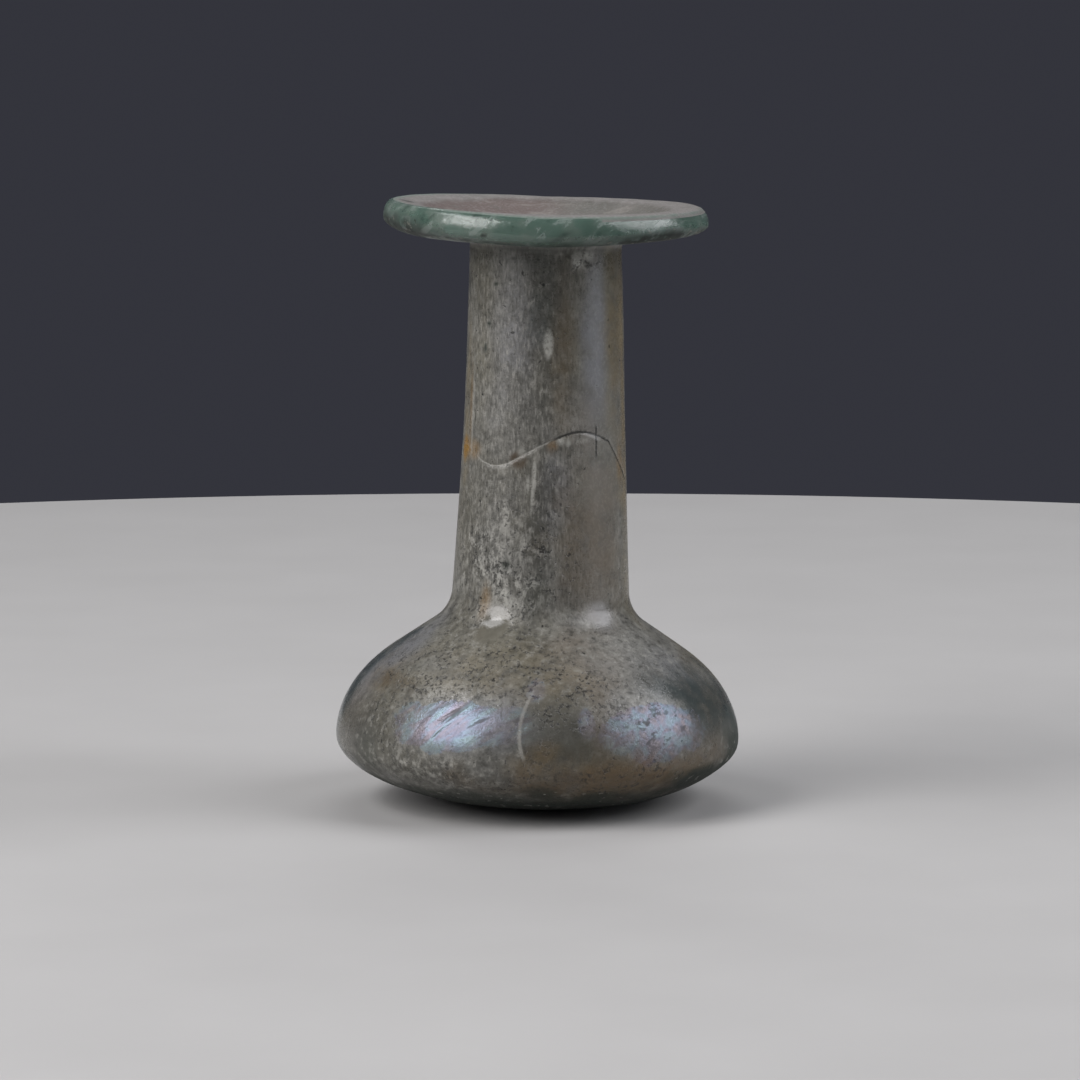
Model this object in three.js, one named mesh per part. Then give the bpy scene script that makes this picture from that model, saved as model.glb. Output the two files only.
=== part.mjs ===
// A small free-blown glass perfume flask: a squat bulb, a tall tapering neck and a wide flattened rim.
// Units are millimetres and degrees. +Z is up, and the flask stands on z = 0 with its bulb over the origin.
//
// The flask is first turned about its own axis as one closed wall, outside and inside, open at the mouth.
// Then it gets the unevenness of hand work: it leans a little, its neck bends back, its rim is thinner on
// one side, and its foot is pressed flat where it stands.
import * as THREE from "three";

// The bulb.
const BULB_RADIUS = 30.4;
const BULB_HEIGHT = 9.9; // height of the widest ring
const BULB_UPPER_AXIS = 19.55; // half height of the ellipse above the widest ring
const BULB_LOWER_POWER = 2.07; // 2 is a plain ellipse, and more is squarer
const SHOULDER_SLOPE = 34; // of the straight stretch between the bulb and the neck
const SHOULDER_FILLET = 6;

// The neck.
const NECK_FOOT_RADIUS = 13.3;
const NECK_TOP_RADIUS = 11.35;
const NECK_TOP_HEIGHT = 83.9;
const NECK_STEEPNESS = 88; // of the neck's side where the fillet ends
const NECK_WAIST = 0.25; // how far its sides draw in at mid height

// The rim, folded outward and pressed flat.
const RIM_RADIUS = 24.35;
const RIM_UNDERSIDE_HEIGHT = 85.35;
const RIM_WIDEST_HEIGHT = 87;
const RIM_EDGE_HEIGHT = 89.9; // where the rounded edge meets the top face
const RIM_EDGE_RADIUS = 22.7;
const RIM_EDGE_ROUNDING = 3.2; // width of the rounding below the widest ring
const RIM_UNDERSIDE_FILLET = 1.4;
const RIM_RING_RADIUS = 18.5; // the inner edge of the fold, the highest ring of the flask
const RIM_RING_HEIGHT = 90;
const RIM_STEP_DEPTH = 0.6; // from the fold's edge down to the dished mouth
const DISH_RADIUS = 12.6;
const DISH_HEIGHT = 87.4;

// The glass is thin in the bulb and thicker in the neck and the foot.
const BULB_WALL = 1.4;
const NECK_WALL = 1.7;
const FOOT_WALL = 2.3;

// Hand work.
const LEAN = 1.29; // of the whole flask, towards +X
const FOOT_PRESS = 0.32; // depth of the flat under the foot, on the flask's axis
const NECK_BEND = -0.5; // sideways, at the rim
const NECK_BEND_START = 50;
const RIM_THINNING = 1; // how much the underside rises on the +X side
const RIM_BEVEL = 0.9; // how much the underside's edge rises on the -X side
const RIM_LIFT_LEFT = 0.9; // how much the top's edge rises on the -X side
const RIM_LIFT_RIGHT = 0.5; // and on the +X side
const FLANK_HEIGHT = 5.3; // a shallow press mark around the lower flank of the bulb
const FLANK_SPREAD = 2.7;
const FLANK_DEPTH = 0.5;
const FLANK_DEPTH_CHANGE = 0.3; // deeper by this on the +X side, and shallower on the -X side

// Facets.
const AROUND = 60;
const BULB_STEPS = 11;
const FILLET_STEPS = 5;
const NECK_STEPS = 5;
const RIM_STEPS = 3;

const GLASS = {
  color: 0x8a8f80,
  roughness: 0.35,
  metalness: 0,
  transparent: true,
  opacity: 0.6,
  side: THREE.DoubleSide,
};

const radians = THREE.MathUtils.degToRad;
const { smoothstep } = THREE.MathUtils;

// Points of a quarter turn, from angle 0 to 90 degrees, given as a function of the angle.
function quarter(steps, pointAt) {
  const points = [];
  for (let i = 0; i <= steps; i += 1) {
    points.push(pointAt((i / steps) * (Math.PI / 2)));
  }
  return points;
}

// One side of the bulb and neck, from the axis below up to the neck's top, as (radius, height).
// `inset` holds the distances to the outer surface, which are all 0 for the outer surface itself.
function bulbAndNeck(inset) {
  const radius = BULB_RADIUS - inset.bulb;
  const below = BULB_HEIGHT - inset.foot;
  const above = BULB_UPPER_AXIS - inset.bulb;
  const fillet = SHOULDER_FILLET + inset.bulb;
  const neckFoot = NECK_FOOT_RADIUS - inset.neck;
  const neckTop = NECK_TOP_RADIUS - inset.neck;
  const power = 2 / BULB_LOWER_POWER;
  const points = quarter(BULB_STEPS, (t) => new THREE.Vector2(
    radius * Math.sin(t) ** power,
    BULB_HEIGHT - below * Math.max(Math.cos(t), 0) ** power,
  ));

  // The upper ellipse ends where it is as steep as the shoulder.
  const slope = radians(SHOULDER_SLOPE);
  const upperEnd = Math.atan(above / (radius * Math.tan(slope)));
  for (let i = 1; i <= BULB_STEPS; i += 1) {
    const t = (i / BULB_STEPS) * upperEnd;
    points.push(new THREE.Vector2(radius * Math.cos(t), BULB_HEIGHT + above * Math.sin(t)));
  }

  // The fillet turns the shoulder's slope into the neck's steepness.
  const steep = radians(NECK_STEEPNESS);
  const shoulderTop = points.at(-1);
  const filletRadius = neckFoot + fillet * (Math.sin(steep) - Math.sin(slope));
  const filletHeight = shoulderTop.y + (shoulderTop.x - filletRadius) * Math.tan(slope);
  for (let i = 0; i <= FILLET_STEPS; i += 1) {
    const t = THREE.MathUtils.lerp(slope, steep, i / FILLET_STEPS);
    points.push(new THREE.Vector2(
      filletRadius - fillet * (Math.sin(t) - Math.sin(slope)),
      filletHeight + fillet * (Math.cos(slope) - Math.cos(t)),
    ));
  }

  // The neck tapers up from there, a little drawn in at mid height.
  const foot = points.at(-1);
  for (let i = 1; i <= NECK_STEPS; i += 1) {
    const t = i / NECK_STEPS;
    const waist = NECK_WAIST * Math.sin(Math.PI * t);
    points.push(new THREE.Vector2(
      THREE.MathUtils.lerp(foot.x, neckTop, t) - waist,
      THREE.MathUtils.lerp(foot.y, NECK_TOP_HEIGHT, t),
    ));
  }
  return points;
}

// The rim from the neck's outside, around its edge and over its top, down to the top of the bore.
function rim() {
  const fillet = RIM_UNDERSIDE_FILLET;
  const underside = quarter(RIM_STEPS, (t) => new THREE.Vector2(
    NECK_TOP_RADIUS + fillet * (1 - Math.cos(t)),
    RIM_UNDERSIDE_HEIGHT - fillet * (1 - Math.sin(t)),
  ));
  const lowerEdge = quarter(RIM_STEPS + 1, (t) => new THREE.Vector2(
    RIM_RADIUS - RIM_EDGE_ROUNDING * (1 - Math.sin(t)),
    RIM_WIDEST_HEIGHT - (RIM_WIDEST_HEIGHT - RIM_UNDERSIDE_HEIGHT) * Math.cos(t),
  ));
  const upperEdge = quarter(RIM_STEPS, (t) => new THREE.Vector2(
    RIM_EDGE_RADIUS + (RIM_RADIUS - RIM_EDGE_RADIUS) * Math.cos(t),
    RIM_WIDEST_HEIGHT + (RIM_EDGE_HEIGHT - RIM_WIDEST_HEIGHT) * Math.sin(t),
  ));
  const dishEdge = RIM_RING_HEIGHT - RIM_STEP_DEPTH;
  const bore = NECK_TOP_RADIUS - NECK_WALL;
  const mouth = quarter(RIM_STEPS, (t) => new THREE.Vector2(
    DISH_RADIUS - (DISH_RADIUS - bore) * Math.sin(t),
    NECK_TOP_HEIGHT + (DISH_HEIGHT - NECK_TOP_HEIGHT) * Math.cos(t),
  ));
  return [
    ...underside.slice(1),
    ...lowerEdge,
    ...upperEdge.slice(1),
    new THREE.Vector2(RIM_RING_RADIUS + RIM_STEP_DEPTH, RIM_RING_HEIGHT),
    new THREE.Vector2(RIM_RING_RADIUS, RIM_RING_HEIGHT - RIM_STEP_DEPTH / 4),
    new THREE.Vector2(RIM_RING_RADIUS - RIM_STEP_DEPTH, dishEdge),
    ...mouth.slice(0, -1),
  ];
}

// The whole wall, from the axis under the foot to the axis on the bulb's floor.
function wall() {
  const outside = bulbAndNeck({ bulb: 0, neck: 0, foot: 0 });
  const inside = bulbAndNeck({ bulb: BULB_WALL, neck: NECK_WALL, foot: FOOT_WALL });
  return [...outside, ...rim(), ...inside.reverse()];
}

// Moves one point of the turned shape, given about the flask's own axis, to where hand work left it.
function handWorked(point) {
  const height = point.z;
  const radius = Math.hypot(point.x, point.y);
  if (radius > 0) {
    const side = point.x / radius; // 1 at +X, and -1 at -X

    const flank = Math.exp(-(((height - FLANK_HEIGHT) / FLANK_SPREAD) ** 2));
    const press = (FLANK_DEPTH + FLANK_DEPTH_CHANGE * side) * flank;
    const scale = 1 - (press * smoothstep(radius, 0, BULB_RADIUS)) / radius;
    point.x *= scale;
    point.y *= scale;

    if (height > NECK_TOP_HEIGHT) {
      const nearTop = smoothstep(height, RIM_UNDERSIDE_HEIGHT, RIM_EDGE_HEIGHT);
      const thinning = Math.max(side, 0) * smoothstep(radius, NECK_TOP_RADIUS + 1.5, RIM_RING_RADIUS);
      const atEdge = smoothstep(radius, RIM_RING_RADIUS, RIM_RADIUS);
      const bevel = Math.max(-side, 0) * atEdge;
      const lift = (side < 0 ? -RIM_LIFT_LEFT : RIM_LIFT_RIGHT) * side * atEdge;
      point.z += (1 - nearTop) * (RIM_THINNING * thinning + RIM_BEVEL * bevel) + nearTop * lift;
    }
  }
  const bend = Math.max(height - NECK_BEND_START, 0) / (RIM_WIDEST_HEIGHT - NECK_BEND_START);
  point.x += NECK_BEND * bend ** 2;

  // The lean keeps the bulb's middle over the origin.
  point.applyAxisAngle(new THREE.Vector3(0, 1, 0), radians(LEAN));
  point.x -= BULB_HEIGHT * Math.sin(radians(LEAN));
  point.z = Math.max(point.z - FOOT_PRESS, 0);
  return point;
}

function flaskGeometry() {
  const geometry = new THREE.LatheGeometry(wall(), AROUND);
  geometry.rotateX(Math.PI / 2);
  const position = geometry.getAttribute("position");
  const point = new THREE.Vector3();
  for (let i = 0; i < position.count; i += 1) {
    point.fromBufferAttribute(position, i);
    handWorked(point);
    position.setXYZ(i, point.x, point.y, point.z);
  }
  geometry.computeVertexNormals();
  return geometry;
}

const flask = new THREE.Mesh(flaskGeometry(), new THREE.MeshStandardMaterial(GLASS));
flask.name = "flask";

const part = new THREE.Group();
part.add(flask);

export default part;
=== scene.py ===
"""A small ancient perfume flask of free-blown glass, weathered and stained, on a plain pale stand."""
import math

import bpy
import numpy as np
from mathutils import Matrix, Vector

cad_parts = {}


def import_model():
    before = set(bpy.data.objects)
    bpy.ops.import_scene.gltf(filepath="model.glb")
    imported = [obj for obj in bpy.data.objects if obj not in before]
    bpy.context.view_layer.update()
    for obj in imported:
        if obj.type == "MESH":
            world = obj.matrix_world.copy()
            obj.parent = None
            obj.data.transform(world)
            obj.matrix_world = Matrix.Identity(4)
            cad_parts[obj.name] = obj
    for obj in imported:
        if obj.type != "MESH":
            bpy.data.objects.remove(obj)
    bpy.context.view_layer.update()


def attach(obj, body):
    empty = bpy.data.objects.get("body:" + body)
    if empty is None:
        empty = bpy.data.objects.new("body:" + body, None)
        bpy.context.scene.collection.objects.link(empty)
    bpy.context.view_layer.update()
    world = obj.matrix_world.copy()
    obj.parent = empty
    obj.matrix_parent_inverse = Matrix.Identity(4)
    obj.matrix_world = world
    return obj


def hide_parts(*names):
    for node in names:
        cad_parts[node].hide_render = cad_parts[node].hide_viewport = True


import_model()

MM = 0.001

# ---------------------------------------------------------------------------------------------------------
# The flask's sizes, in millimetres and degrees, about its own axis. They are the CAD part's own.

BULB_RADIUS = 30.4
BULB_HEIGHT = 9.9
BULB_UPPER_AXIS = 19.55
BULB_LOWER_POWER = 2.07
SHOULDER_SLOPE = 34
SHOULDER_FILLET = 6

NECK_FOOT_RADIUS = 13.3
NECK_TOP_RADIUS = 11.35
NECK_TOP_HEIGHT = 83.9
NECK_STEEPNESS = 88
NECK_WAIST = 0.25

RIM_RADIUS = 24.35
RIM_UNDERSIDE_HEIGHT = 85.35
RIM_WIDEST_HEIGHT = 87
RIM_EDGE_HEIGHT = 89.9
RIM_EDGE_RADIUS = 22.7
RIM_EDGE_ROUNDING = 3.2
RIM_CLEAR_RADIUS = 23.2  # the deposit on the top reaches out to this, over the rounded edge
RIM_CLEAR_CHANGE = 0.6  # and further by this on the +X side
RIM_UNDERSIDE_FILLET = 1.4
RIM_JOINT_HEIGHT = RIM_UNDERSIDE_HEIGHT - RIM_UNDERSIDE_FILLET / 20  # weathered outside below, rim above
RIM_RING_RADIUS = 18.5
RIM_RING_HEIGHT = 90
RIM_STEP_DEPTH = 0.6
DISH_RADIUS = 12.6
DISH_HEIGHT = 87.4

BULB_WALL = 1.4
NECK_WALL = 1.7
FOOT_WALL = 2.3

LEAN = 1.29
FOOT_PRESS = 0.32
NECK_BEND = -0.5
NECK_BEND_START = 50
RIM_THINNING = 1
RIM_BEVEL = 0.9
RIM_LIFT_LEFT = 0.9
RIM_LIFT_RIGHT = 0.5
FLANK_HEIGHT = 5.3
FLANK_SPREAD = 2.7
FLANK_DEPTH = 0.5
FLANK_DEPTH_CHANGE = 0.3

# The crack around the front of the neck: it dips on the -X side, crests on the +X side and then falls away.
CRACK_HEIGHT = 54.5
CRACK_DIP = 2.6
CRACK_DIP_TURN = -37
CRACK_DIP_SPREAD = 24
CRACK_CREST = 2.85
CRACK_CREST_TURN = 26
CRACK_CREST_SPREAD = 29
CRACK_FALL = 0.19  # for each degree past the next value
CRACK_FALL_TURN = 52

# The short stroke across the crack, and the thin arc on the bulb.
TICK_TURN = 39.4
TICK_MIDDLE = 39
TICK_WINDOW = 20  # degrees to each side of TICK_MIDDLE; it keeps the stroke off the seam at the back
ARC_TURN = -5.4
ARC_HEIGHT = 15  # where the arc bulges furthest to -X
ARC_CURVE = 0.11  # degrees towards +X, times the square of the millimetres above or below that
ARC_WINDOW = 30  # degrees to each side of the front; it keeps the arc off the seam at the back
NECK_MM_PER_DEGREE = 0.21  # around the neck
BULB_MM_PER_DEGREE = 0.5  # around the bulb
LINE_REACH = 3  # millimetres; distances from a line are cut off beyond this

# The relief of the surface.
SWELL = 0.22
RIPPLE = 0.05
CRACK_DEPTH = 0.16
CRACK_WIDTH = 0.24
CRUST_RISE = 0.08
PIT_EDGE = 0.5
PIT_RAGGED = 0.4
SPOT_RISE = 0.22  # a smooth fuller spot in the hollow at the neck's foot
SPOT_TURN = -26
SPOT_HEIGHT = 28.4
SPOT_HALF_TURN = 12
SPOT_HALF_HEIGHT = 2.6

# The mesh.
AROUND = 320
OUTER_ROWS = 250
INNER_ROWS = 55
CRACK_ROWS_CLOSER = 2.6  # rows lie this much closer together around the crack
CRACK_ROWS_REACH = 5  # millimetres above and below the crack
CURVE_STEPS = 40

# ---------------------------------------------------------------------------------------------------------
# Profiles and noise.


def smoothstep(low, high, value):
    t = np.clip((value - low) / (high - low), 0, 1)
    return t * t * (3 - 2 * t)


def quarter(point_at, steps=CURVE_STEPS):
    """Points of a quarter turn, of which point_at gives the radius and the height at an angle."""
    angles = np.linspace(0, math.pi / 2, steps + 1)
    return np.stack(point_at(np.sin(angles), np.clip(np.cos(angles), 0, 1)), axis=-1)


def bulb_and_neck(bulb_inset, neck_inset, foot_inset):
    """One side of the bulb and neck, from the axis below up to the neck's top, as (radius, height)."""
    radius = BULB_RADIUS - bulb_inset
    below = BULB_HEIGHT - foot_inset
    above = BULB_UPPER_AXIS - bulb_inset
    fillet = SHOULDER_FILLET + bulb_inset
    neck_foot = NECK_FOOT_RADIUS - neck_inset
    neck_top = NECK_TOP_RADIUS - neck_inset
    power = 2 / BULB_LOWER_POWER
    lower = quarter(lambda s, c: (radius * s**power, BULB_HEIGHT - below * c**power))

    slope = math.radians(SHOULDER_SLOPE)
    upper_end = math.atan(above / (radius * math.tan(slope)))
    t = np.linspace(0, upper_end, CURVE_STEPS + 1)[1:]
    upper = np.stack([radius * np.cos(t), BULB_HEIGHT + above * np.sin(t)], axis=-1)

    steep = math.radians(NECK_STEEPNESS)
    top_radius, top_height = upper[-1]
    fillet_radius = neck_foot + fillet * (math.sin(steep) - math.sin(slope))
    fillet_height = top_height + (top_radius - fillet_radius) * math.tan(slope)
    t = np.linspace(slope, steep, CURVE_STEPS + 1)
    turn = np.stack(
        [
            fillet_radius - fillet * (np.sin(t) - math.sin(slope)),
            fillet_height + fillet * (math.cos(slope) - np.cos(t)),
        ],
        axis=-1,
    )

    t = np.linspace(0, 1, CURVE_STEPS + 1)[1:]
    foot_radius, foot_height = turn[-1]
    neck = np.stack(
        [
            foot_radius + (neck_top - foot_radius) * t - NECK_WAIST * np.sin(math.pi * t),
            foot_height + (NECK_TOP_HEIGHT - foot_height) * t,
        ],
        axis=-1,
    )
    return np.concatenate([lower, upper, turn, neck])


def rim():
    """The rim, from the neck's outside, around its edge and over its top, down to the top of the bore."""
    fillet = RIM_UNDERSIDE_FILLET
    bore = NECK_TOP_RADIUS - NECK_WALL
    under_depth = RIM_WIDEST_HEIGHT - RIM_UNDERSIDE_HEIGHT
    edge_rise = RIM_EDGE_HEIGHT - RIM_WIDEST_HEIGHT
    underside = quarter(
        lambda s, c: (NECK_TOP_RADIUS + fillet * (1 - c), RIM_UNDERSIDE_HEIGHT - fillet * (1 - s))
    )
    lower_edge = quarter(
        lambda s, c: (RIM_RADIUS - RIM_EDGE_ROUNDING * (1 - s), RIM_WIDEST_HEIGHT - under_depth * c)
    )
    upper_edge = quarter(
        lambda s, c: (
            RIM_EDGE_RADIUS + (RIM_RADIUS - RIM_EDGE_RADIUS) * c,
            RIM_WIDEST_HEIGHT + edge_rise * s,
        )
    )
    t = np.linspace(0, 1, CURVE_STEPS)[1:-1]
    step = np.stack(
        [
            RIM_RING_RADIUS + RIM_STEP_DEPTH * (1 - 2 * t),
            RIM_RING_HEIGHT - RIM_STEP_DEPTH * smoothstep(0.2, 1, t),
        ],
        axis=-1,
    )
    mouth = quarter(
        lambda s, c: (
            DISH_RADIUS - (DISH_RADIUS - bore) * s,
            NECK_TOP_HEIGHT + (DISH_HEIGHT - NECK_TOP_HEIGHT) * c,
        )
    )
    return np.concatenate([underside[1:], lower_edge, upper_edge[1:], step, mouth])


def spaced(points, rows, closeness):
    """The line through points, cut into rows that lie closer together where closeness is greater."""
    steps = np.linalg.norm(np.diff(points, axis=0), axis=1)
    keep = np.concatenate([[True], steps > 1e-6])
    points = points[keep]
    fine = np.concatenate([[0], np.cumsum(np.linalg.norm(np.diff(points, axis=0), axis=1))])
    along = np.linspace(0, fine[-1], rows * 8)
    line = np.stack([np.interp(along, fine, points[:, k]) for k in (0, 1)], axis=-1)
    share = np.concatenate([[0], np.cumsum(closeness(line)[1:])])
    places = np.interp(np.linspace(0, share[-1], rows + 1), share, along)
    return np.stack([np.interp(places, along, line[:, k]) for k in (0, 1)], axis=-1)


def lattice_value(cell, seed):
    """A fixed number from 0 to 1 for each whole-numbered cell."""
    x, y, z = (cell[..., k].astype(np.uint32) for k in range(3))
    mixed = x * np.uint32(73856093) ^ y * np.uint32(19349663) ^ z * np.uint32(83492791)
    mixed ^= np.uint32(seed * 2654435761 % 2**32)
    mixed = (mixed ^ (mixed >> np.uint32(13))) * np.uint32(1274126177)
    return ((mixed ^ (mixed >> np.uint32(16))) & np.uint32(0xFFFF)) / 65535


def cloud(points, size, seed, octaves=3):
    """Smooth noise from 0 to 1 at points, whose largest lumps are about size across."""
    total, weight, share = 0.0, 0.0, 1.0
    for octave in range(octaves):
        place = points / size * 2**octave + 1000.5
        cell = np.floor(place).astype(np.int64)
        part = place - cell
        part = part * part * (3 - 2 * part)
        value = 0.0
        for corner in np.ndindex(2, 2, 2):
            side = np.array(corner)
            blend = np.prod(np.where(side == 1, part, 1 - part), axis=-1)
            value = value + blend * lattice_value(cell + side, seed + octave)
        total = total + share * value
        weight += share
        share *= 0.5
    return total / weight


# ---------------------------------------------------------------------------------------------------------
# The wall: a grid of rows along the profile and columns around the axis.


def crack_height(azimuth):
    """The height of the crack around the front of the neck."""
    dip = CRACK_DIP * np.exp(-(((azimuth - CRACK_DIP_TURN) / CRACK_DIP_SPREAD) ** 2))
    crest = CRACK_CREST * np.exp(-(((azimuth - CRACK_CREST_TURN) / CRACK_CREST_SPREAD) ** 2))
    fall = CRACK_FALL * np.maximum(azimuth - CRACK_FALL_TURN, 0)
    return CRACK_HEIGHT - dip + crest - fall


def hand_worked(radius, height, azimuth):
    """Places of the turned wall after hand work, in millimetres, standing on z = 0."""
    side = np.sin(azimuth)
    flank = np.exp(-(((height - FLANK_HEIGHT) / FLANK_SPREAD) ** 2))
    press = (FLANK_DEPTH + FLANK_DEPTH_CHANGE * side) * flank
    shaped = radius - press * smoothstep(0, BULB_RADIUS, radius)

    near_top = smoothstep(RIM_UNDERSIDE_HEIGHT, RIM_EDGE_HEIGHT, height)
    in_rim = smoothstep(NECK_TOP_HEIGHT, NECK_TOP_HEIGHT + 0.5, height)
    thinning = np.maximum(side, 0) * smoothstep(NECK_TOP_RADIUS + 1.5, RIM_RING_RADIUS, radius)
    at_edge = smoothstep(RIM_RING_RADIUS, RIM_RADIUS, radius)
    bevel = np.maximum(-side, 0) * at_edge
    lift = np.where(side < 0, -RIM_LIFT_LEFT, RIM_LIFT_RIGHT) * side * at_edge
    rise = (1 - near_top) * (RIM_THINNING * thinning + RIM_BEVEL * bevel) + near_top * lift
    lifted = height + in_rim * rise

    bend = np.maximum(height - NECK_BEND_START, 0) / (RIM_WIDEST_HEIGHT - NECK_BEND_START)
    across = shaped * side + NECK_BEND * bend**2
    lean = math.radians(LEAN)
    x = across * math.cos(lean) + lifted * math.sin(lean) - BULB_HEIGHT * math.sin(lean)
    y = -shaped * np.cos(azimuth)
    z = lifted * math.cos(lean) - across * math.sin(lean) - FOOT_PRESS
    return np.stack([x, y, z], axis=-1)


OUTSIDE, EDGE, TOP, INNER = range(4)  # the material of each row of the wall


class Wall:
    """The grid of the glass wall, with the marks of making and age, and of painted light and shade, at each
    of its points.
    """

    def __init__(self):
        outer_line = np.concatenate([bulb_and_neck(0, 0, 0), rim()])
        inner_line = bulb_and_neck(BULB_WALL, NECK_WALL, FOOT_WALL)[::-1]
        outer = spaced(outer_line, OUTER_ROWS, self.closeness)
        inner = spaced(inner_line, INNER_ROWS, lambda line: np.ones(len(line)))
        line = np.concatenate([outer, inner[1:]])
        self.rows = len(line)
        ahead = np.gradient(line, axis=0)
        ahead /= np.linalg.norm(ahead, axis=1, keepdims=True)
        azimuth = np.arange(AROUND) / AROUND * 2 * math.pi - math.pi
        shape = (self.rows, AROUND)
        self.radius = np.broadcast_to(line[:, :1], shape)
        self.height = np.broadcast_to(line[:, 1:], shape)
        self.out_radius = np.broadcast_to(ahead[:, 1:], shape)
        self.out_height = np.broadcast_to(-ahead[:, :1], shape)
        self.turn = np.broadcast_to(azimuth, shape)
        self.degrees = np.degrees(self.turn)
        self.inside = np.broadcast_to((np.arange(self.rows) >= len(outer))[:, None], shape)
        self.place = np.stack(
            [self.radius * np.sin(self.turn), -self.radius * np.cos(self.turn), self.height], axis=-1
        )
        self.slot_of_row = self.slots(line, len(outer))
        self.clear_radius = RIM_CLEAR_RADIUS + RIM_CLEAR_CHANGE * np.sin(azimuth)
        self.coarse = cloud(self.place, 9, seed=3)
        self.medium = cloud(self.place, 3.5, seed=11)
        self.fine = cloud(self.place, 1.2, seed=23, octaves=2)

    @staticmethod
    def slots(line, outer_rows):
        """Which material each row has: the weathered outside, the rim's edge, the rim's top or the inside."""
        rim_start = np.argmax(line[:, 1] > RIM_JOINT_HEIGHT)
        widest = rim_start + np.argmax(line[rim_start:outer_rows, 0])
        top_start = widest + np.argmax(line[widest:outer_rows, 0] < RIM_CLEAR_RADIUS + RIM_CLEAR_CHANGE)
        slots = np.full(len(line), INNER)
        slots[:outer_rows] = TOP
        slots[:top_start] = EDGE
        slots[:rim_start] = OUTSIDE
        return slots

    @staticmethod
    def closeness(line):
        """How much closer together the rows lie than elsewhere, at each point of the profile."""
        near_crack = np.abs(line[:, 1] - CRACK_HEIGHT) < CRACK_ROWS_REACH
        return np.where(near_crack, CRACK_ROWS_CLOSER, 1.0)

    def patch(self, degrees, height, half_turn, half_height, edge, ragged):
        """1 in an uneven oval patch of the outside, 0 away from it. half_turn is in degrees."""
        turn = (self.degrees - degrees + 180) % 360 - 180
        away = np.hypot(turn / half_turn, (self.height - height) / half_height)
        away = away + ragged * (self.medium - 0.5)
        return (1 - smoothstep(1 - edge, 1 + edge, away)) * ~self.inside

    def relief(self):
        """How far the surface stands out, in millimetres."""
        swell = SWELL * (cloud(self.place, 16, seed=5, octaves=2) - 0.5)
        ripple = RIPPLE * (cloud(self.place * [1, 1, 0.35], 3, seed=6, octaves=2) - 0.5)
        spot_turn = (self.degrees - SPOT_TURN) / SPOT_HALF_TURN
        spot_level = (self.height - SPOT_HEIGHT) / SPOT_HALF_HEIGHT
        out = swell + ripple
        out = out - CRACK_DEPTH * self.crack_line()
        out = out + CRUST_RISE * self.mark("crust") * (0.4 + self.fine)
        out = out + SPOT_RISE * np.exp(-(spot_turn**2) - spot_level**2)
        for degrees, height, half_turn, half_height, depth in PITS:
            pit = self.patch(degrees, height, half_turn, half_height, PIT_EDGE, PIT_RAGGED)
            out = out - depth * pit
        return np.where(self.inside, swell, out)

    def crack_line(self):
        """1 along the crack and 0 away from it, fading out towards its ends at the sides."""
        level = self.height - crack_height(self.degrees) - 0.25 * (self.fine - 0.5)
        ends = smoothstep(-84, -70, self.degrees) * (1 - smoothstep(70, 88, self.degrees))
        return np.exp(-((level / CRACK_WIDTH) ** 2)) * ends * ~self.inside

    def mark(self, name):
        """The share of a mark at each point, from all its patches together."""
        clear = np.ones(self.radius.shape)
        for degrees, height, half_turn, half_height, strength, edge, ragged in PATCHES[name]:
            clear = clear * (1 - strength * self.patch(degrees, height, half_turn, half_height, edge, ragged))
        return 1 - clear

    def marks(self):
        """What the materials read at each point: shares from 0 to 1, and distances in millimetres."""
        marks = {name: self.mark(name) for name in PATCHES}
        outside = ~self.inside & (self.height < RIM_UNDERSIDE_HEIGHT)
        # Painted shade at the base: below about 4 mm the soil mark is made full.
        underside = 1 - smoothstep(3.6, 5.2, self.height + 2.4 * (self.medium - 0.5))
        marks["soil_and_shade"] = np.maximum(marks["soil_and_shade"], outside * underside)
        # Painted shade: the outside is darkened towards the bottom, fully below 10 mm and not above 20 mm.
        marks["low"] = outside * (1 - smoothstep(10, 20, self.height))
        marks["neck"] = smoothstep(27, 33, self.height) * (self.radius < 15) * ~self.inside
        marks |= self.line_marks(outside)
        marks |= self.top_marks()
        # Painted shade under the rim, where it meets the neck.
        painted_shade_under_rim = 0.85 * (1 - smoothstep(12.6, 14.6, self.radius))
        marks["dirt_and_shade"] = np.maximum(marks["dirt_and_shade"], painted_shade_under_rim) * (self.slot_of_row == EDGE)[:, None]
        return marks

    def line_marks(self, outside):
        """The crack, the short stroke across it and the arc: how far off each is, and where it shows."""
        # Painted light along the crack: a pale painted glint on its -X part, and painted shade on its +X
        # part.
        pale = smoothstep(-60, -44, self.degrees) * (1 - smoothstep(0, 12, self.degrees))
        dark = smoothstep(0, 12, self.degrees) * (1 - smoothstep(74, 88, self.degrees))
        tick = smoothstep(53.0, 53.8, self.height) * (1 - smoothstep(57.8, 58.6, self.height))
        arc = smoothstep(10.5, 12.5, self.height) * (1 - smoothstep(19, 22, self.height))
        arc_turn = ARC_TURN + ARC_CURVE * (self.height - ARC_HEIGHT) ** 2
        distances = {
            "from_crack": self.height - crack_height(self.degrees),
            "from_tick": (self.degrees - TICK_TURN) * NECK_MM_PER_DEGREE,
            "from_arc": (self.degrees - arc_turn) * BULB_MM_PER_DEGREE,
        }
        marks = {name: np.clip(away, -LINE_REACH, LINE_REACH) for name, away in distances.items()}
        marks["crack_glint"] = outside * pale
        marks["crack_shade"] = outside * dark
        marks["tick"] = outside * tick * (np.abs(self.degrees - TICK_MIDDLE) < TICK_WINDOW)
        marks["arc"] = outside * arc * (np.abs(self.degrees) < ARC_WINDOW)
        return marks

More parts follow.
